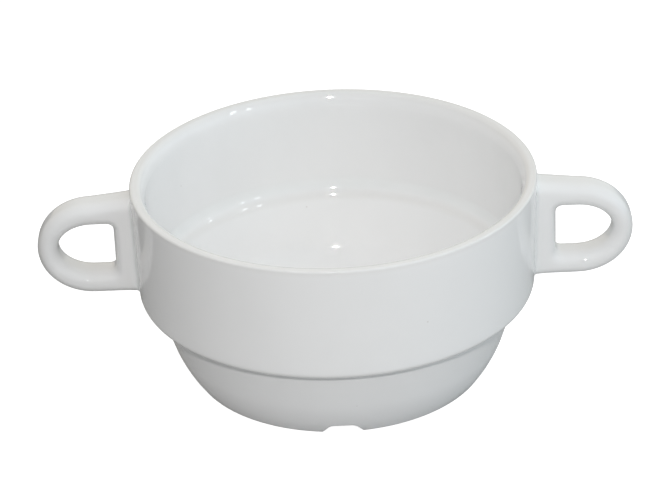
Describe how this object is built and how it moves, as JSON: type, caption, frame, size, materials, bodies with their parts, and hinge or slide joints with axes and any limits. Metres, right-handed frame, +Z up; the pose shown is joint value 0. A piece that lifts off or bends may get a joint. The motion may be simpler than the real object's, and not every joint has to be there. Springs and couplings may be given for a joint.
{
  "type": "consomme bowl",
  "caption": "Round stepped porcelain soup bowl with looped side handles, a stacking ledge and a notched foot ring.",
  "frame": {"origin": "centre of the foot ring, on the table", "axes": "+X from handle to handle, +Z up along the bowl's own axis"},
  "size_m": [0.162, 0.11, 0.0567],
  "materials": {
    "glazed_porcelain": "clear gloss glaze over white porcelain, bare on the standing face of the foot ring",
    "fired_slip": "fired luting slip under the same clear glaze"
  },
  "bodies": {
    "root": {"bowl_body": "glazed_porcelain", "handle_left": "glazed_porcelain", "handle_right": "glazed_porcelain", "slip_joint_left": "fired_slip", "slip_joint_right": "fired_slip"}
  },
  "joints": []
}
